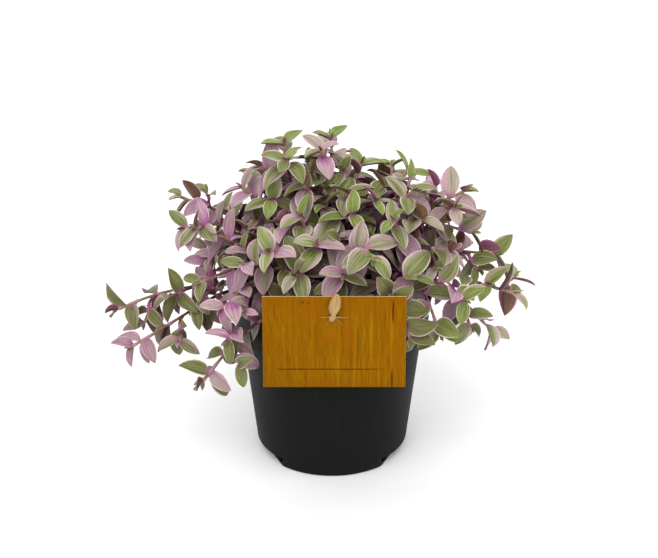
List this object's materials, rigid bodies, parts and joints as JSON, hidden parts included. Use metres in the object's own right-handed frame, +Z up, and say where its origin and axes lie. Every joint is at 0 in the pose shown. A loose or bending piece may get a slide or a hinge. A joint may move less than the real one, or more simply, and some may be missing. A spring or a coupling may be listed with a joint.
{
  "type": "potted variegated callisia repens plant",
  "caption": "Trailing pink, cream and green variegated houseplant in a black nursery pot, with a wood-look card tied to the front by raffia.",
  "frame": {"origin": "middle of the pot's flat underside, on the surface it stands on", "axes": "+Z up along the pot's axis; -Y is the front, where the card is; +X is to the right as seen from the front"},
  "size_m": [0.2623, 0.1908, 0.2078],
  "materials": {
    "pot_plastic": "matte",
    "soil": "matte",
    "card": "satin",
    "raffia": "matte",
    "foliage": "satin"
  },
  "bodies": {
    "root": {"card": "card", "leafy_stem_01": "foliage", "leafy_stem_02": "foliage", "leafy_stem_03": "foliage", "leafy_stem_04": "foliage", "leafy_stem_05": "foliage", "leafy_stem_06": "foliage", "leafy_stem_07": "foliage", "leafy_stem_08": "foliage", "leafy_stem_09": "foliage", "leafy_stem_10": "foliage", "leafy_stem_11": "foliage", "leafy_stem_12": "foliage", "leafy_stem_13": "foliage", "leafy_stem_14": "foliage", "leafy_stem_15": "foliage", "leafy_stem_16": "foliage", "leafy_stem_17": "foliage", "leafy_stem_18": "foliage", "leafy_stem_19": "foliage", "leafy_stem_20": "foliage", "leafy_stem_21": "foliage", "leafy_stem_22": "foliage", "leafy_stem_23": "foliage", "leafy_stem_24": "foliage", "leafy_stem_25": "foliage", "leafy_stem_26": "foliage", "leafy_stem_27": "foliage", "leafy_stem_28": "foliage", "leafy_stem_29": "foliage", "leafy_stem_30": "foliage", "leafy_stem_31": "foliage", "leafy_stem_32": "foliage", "leafy_stem_33": "foliage", "leafy_stem_34": "foliage", "leafy_stem_35": "foliage", "leafy_stem_36": "foliage", "leafy_stem_37": "foliage", "leafy_stem_38": "foliage", "leafy_stem_39": "foliage", "leafy_stem_40": "foliage", "leafy_stem_41": "foliage", "leafy_stem_42": "foliage", "leafy_stem_43": "foliage", "leafy_stem_44": "foliage", "leafy_stem_45": "foliage", "leafy_stem_46": "foliage", "leafy_stem_47": "foliage", "leafy_stem_48": "foliage", "leafy_stem_49": "foliage", "leafy_stem_50": "foliage", "leafy_stem_51": "foliage", "leafy_stem_52": "foliage", "pot": "pot_plastic", "raffia_tie": "raffia", "soil": "soil"}
  },
  "joints": []
}
